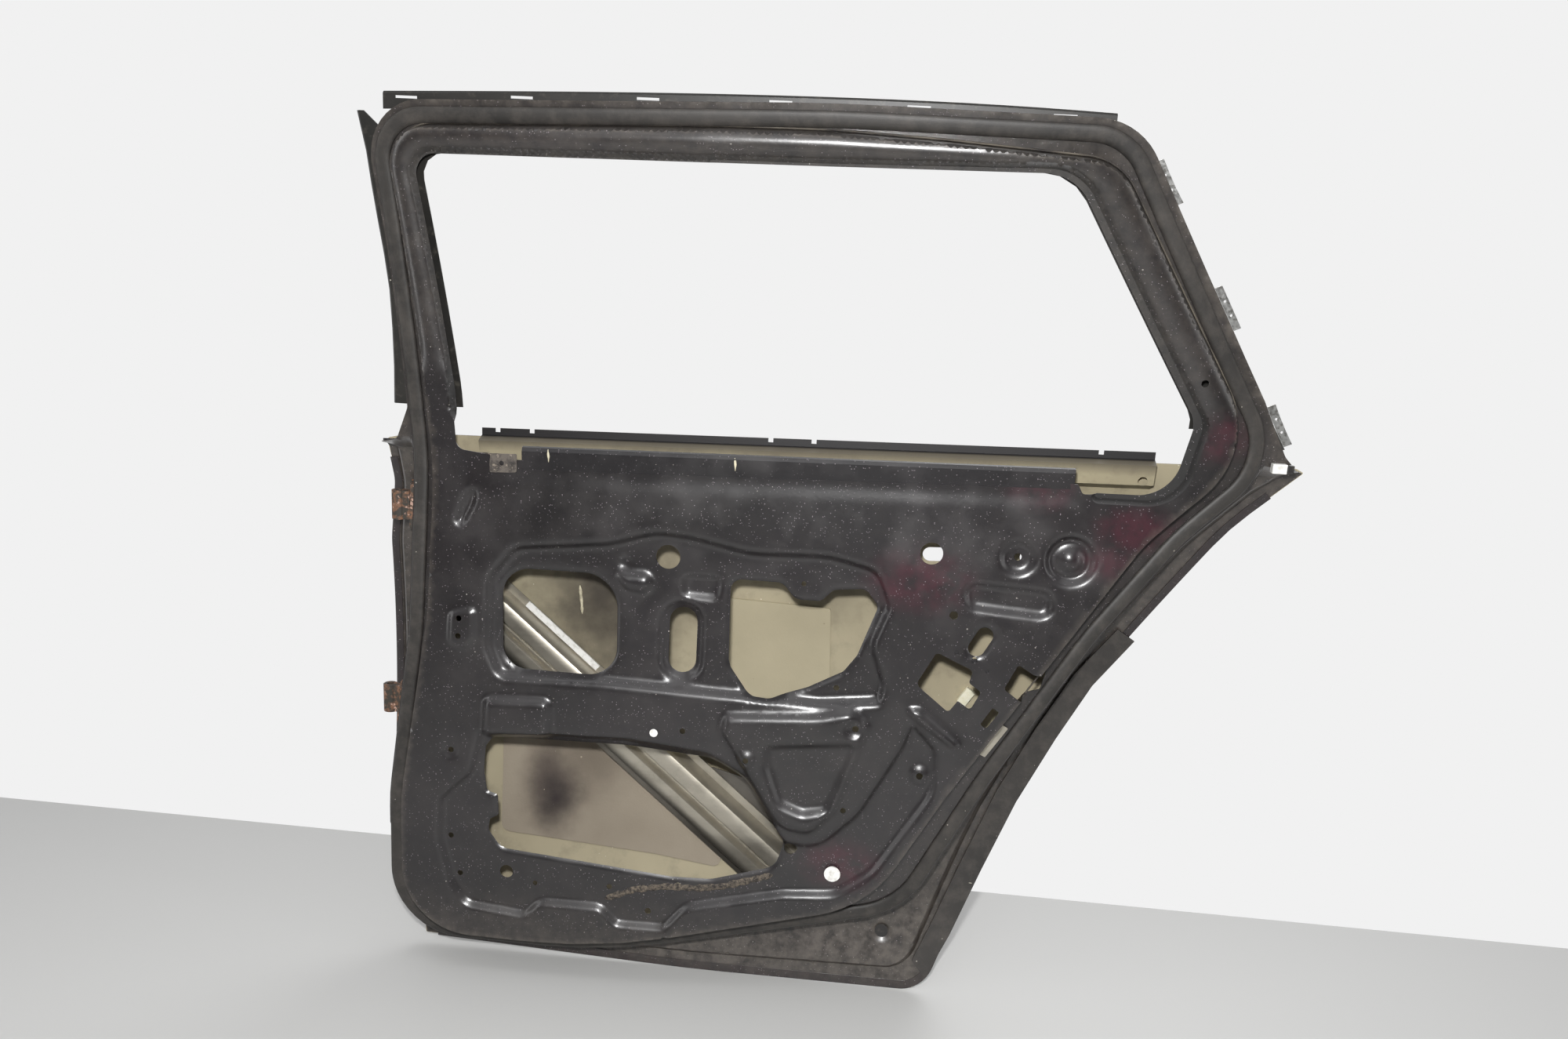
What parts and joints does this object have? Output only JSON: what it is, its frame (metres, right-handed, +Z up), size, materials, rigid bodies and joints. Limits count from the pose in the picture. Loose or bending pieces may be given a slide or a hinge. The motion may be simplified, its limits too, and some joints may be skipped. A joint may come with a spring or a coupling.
{
  "type": "car door shell",
  "caption": "Stripped right rear door shell of an estate car: stamped inner panel with window frame, hemmed outer skin, side impact beam, belt rails and seal.",
  "frame": {"origin": "centre of the bounding box's underside, below the sill hem", "axes": "+X to the rear of the car along the door, +Y outboard from the trim face to the outer skin, +Z up as the door hangs in the car"},
  "size_m": [1.1098, 0.1882, 1.0891],
  "materials": {
    "body_paint": "gloss very dark plum pearl paint, worn and dusty",
    "beige_primer": "matt beige primer on the skin's inner side",
    "rail_paint": "semi-gloss black paint",
    "coated_steel": "dull coated steel, dusty",
    "seal_rubber": "matt dark grey rubber with dust",
    "worn_hinge": "worn paint with rust chips",
    "damping_sheet": "matt fibrous damping sheet",
    "bare_aluminium": "bare, lightly scratched",
    "white_plastic": "satin white plastic",
    "black_plastic": "satin black plastic"
  },
  "bodies": {
    "root": {"inner_panel": "body_paint", "outer_skin": "beige_primer", "frame_outer_panel": "rail_paint", "frame_top_rail": "rail_paint", "frame_front_rail": "rail_paint", "frame_rear_rail": "rail_paint", "outer_belt_reinforcement": "beige_primer", "inner_belt_reinforcement": "body_paint", "belt_corner_bracket": "body_paint", "side_impact_beam": "coated_steel", "beam_front_plate": "coated_steel", "beam_rear_plate": "coated_steel", "perimeter_seal": "seal_rubber", "wheel_arch_edge_strip": "seal_rubber", "upper_hinge": "worn_hinge", "upper_hinge_bolt_1": "worn_hinge", "upper_hinge_bolt_2": "worn_hinge", "upper_hinge_reinforcement": "body_paint", "lower_hinge": "worn_hinge", "lower_hinge_bolt_1": "worn_hinge", "lower_hinge_bolt_2": "worn_hinge", "lower_hinge_reinforcement": "body_paint", "latch_reinforcement": "body_paint", "lower_damping_pad": "damping_sheet", "upper_damping_pad": "damping_sheet", "lower_hole_plug": "white_plastic", "small_hole_plug": "white_plastic", "drain_plug": "black_plastic", "upper_rail_clip": "bare_aluminium", "middle_rail_clip": "bare_aluminium", "lower_rail_clip": "bare_aluminium", "front_corner_cap": "body_paint", "corner_clip": "white_plastic", "corner_tab": "black_plastic", "edge_tab": "coated_steel", "adhesive_strip": "white_plastic"}
  },
  "joints": []
}
